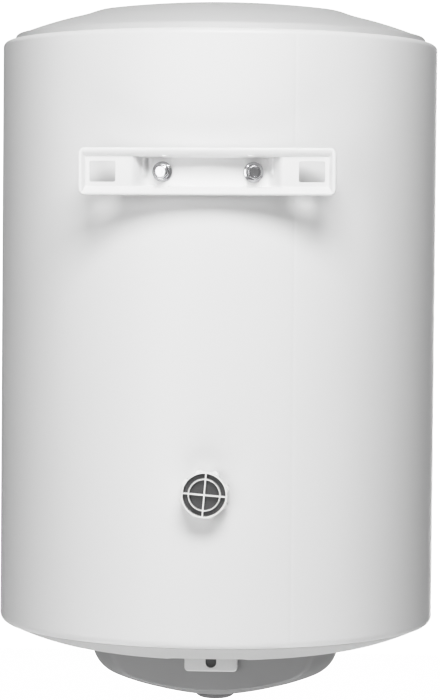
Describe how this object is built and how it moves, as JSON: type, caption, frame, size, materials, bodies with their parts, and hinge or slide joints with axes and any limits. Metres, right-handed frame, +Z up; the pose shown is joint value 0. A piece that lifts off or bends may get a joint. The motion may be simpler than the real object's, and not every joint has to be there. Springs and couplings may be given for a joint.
{
  "type": "tank water heater",
  "caption": "Upright wall-hung electric storage water heater: white drum with domed lid, dished base with grey service cover, rear wall bracket and adjustable wall spacer.",
  "frame": {"origin": "centre of the wall bracket's wall-side plane, midway between its two hook holes", "axes": "+Z up along the drum, +Y towards the wall, -Y the front; the drum's axis is 245 mm in front of the wall plane"},
  "size_m": [0.4499, 0.47, 0.7232],
  "materials": {
    "jacket_enamel": "white powder coat, semi-gloss",
    "lid_plastic": "white moulded plastic, satin",
    "cap_plastic": "off-white moulded plastic, satin",
    "cover_plastic": "mid grey moulded plastic, fine texture",
    "entry_plastic": "light grey moulded plastic",
    "knob_plastic": "dark grey moulded plastic",
    "bracket_paint": "white powder coat, semi-gloss",
    "bolt_chrome": "bright plated",
    "screw_zinc": "zinc plated",
    "spacer_plastic": "white moulded plastic",
    "pad_rubber": "dark grey rubber",
    "tank_enamel": "dark vitreous enamel",
    "flange_steel": "galvanised steel",
    "pipe_steel": "zinc plated steel",
    "blue_plastic": "blue moulded plastic",
    "red_plastic": "red moulded plastic",
    "diffuser_plastic": "natural moulded plastic",
    "gasket_rubber": "black moulded rubber",
    "element_copper": "copper sheath",
    "terminal_brass": "brass",
    "case_plastic": "black moulded plastic",
    "anode_magnesium": "cast magnesium",
    "lens_plastic": "clear amber plastic",
    "lamp_glass": "neon lamp glass",
    "foam": "rigid polyurethane foam"
  },
  "bodies": {
    "casing": {"outer_jacket": "jacket_enamel", "top_lid": "lid_plastic", "bottom_cap": "cap_plastic", "service_cover": "cover_plastic", "cover_screws": "screw_zinc", "cable_entry_plate": "entry_plastic", "cable_clamp": "entry_plastic", "clamp_screws": "screw_zinc", "thermostat_body": "case_plastic", "thermostat_rod": "terminal_brass", "indicator_lens": "lens_plastic", "indicator_lamp": "lamp_glass", "wall_bracket": "bracket_paint", "bracket_bolts": "bolt_chrome", "tank_bosses": "flange_steel", "spacer_socket": "spacer_plastic", "tank_shell": "tank_enamel", "tank_top_head": "tank_enamel", "tank_bottom_head": "tank_enamel", "cold_inlet_pipe": "pipe_steel", "hot_outlet_pipe": "pipe_steel", "outlet_standpipe": "pipe_steel", "cold_inlet_collar": "blue_plastic", "hot_outlet_collar": "red_plastic", "inlet_diffuser": "diffuser_plastic", "flange_neck": "flange_steel", "flange_gasket": "gasket_rubber", "flange_plate": "flange_steel", "flange_studs": "screw_zinc", "flange_nuts": "screw_zinc", "heating_element": "element_copper", "element_terminals": "terminal_brass", "thermostat_pocket": "flange_steel", "anode_rod": "anode_magnesium", "anode_nut": "screw_zinc", "insulation_foam": "foam"},
    "knob": {"thermostat_knob": "knob_plastic", "thermostat_spindle": "terminal_brass"},
    "reset": {"reset_button": "red_plastic"},
    "wheel": {"spacer_wheel": "spacer_plastic"},
    "foot": {"spacer_foot": "spacer_plastic", "foot_pad": "pad_rubber"}
  },
  "joints": [
    {"name": "knob_turn", "type": "hinge", "parent": "casing", "child": "knob", "pos_m": [0, -0.245, -0.53], "axis": [0, 0, 1], "range_deg": [0, 270]},
    {"name": "reset_button_press", "type": "slide", "parent": "casing", "child": "reset", "axis": [0, 0, 1], "range_m": [0, 0.002], "stiffness_N_per_m": 300, "springref_m": -0.002},
    {"name": "spacer_wheel_turn", "type": "hinge", "parent": "casing", "child": "wheel", "pos_m": [0, -0.012, -0.3088], "axis": [0, 1, 0], "range_deg": [0, 1080.5]},
    {"name": "spacer_foot_slide", "type": "slide", "parent": "casing", "child": "foot", "axis": [0, 1, 0], "range_m": [0, 0.012]}
  ],
  "couplings": [
    {"joint": "spacer_wheel_turn", "follows": "spacer_foot_slide", "rad_per_m": 1570.8}
  ]
}
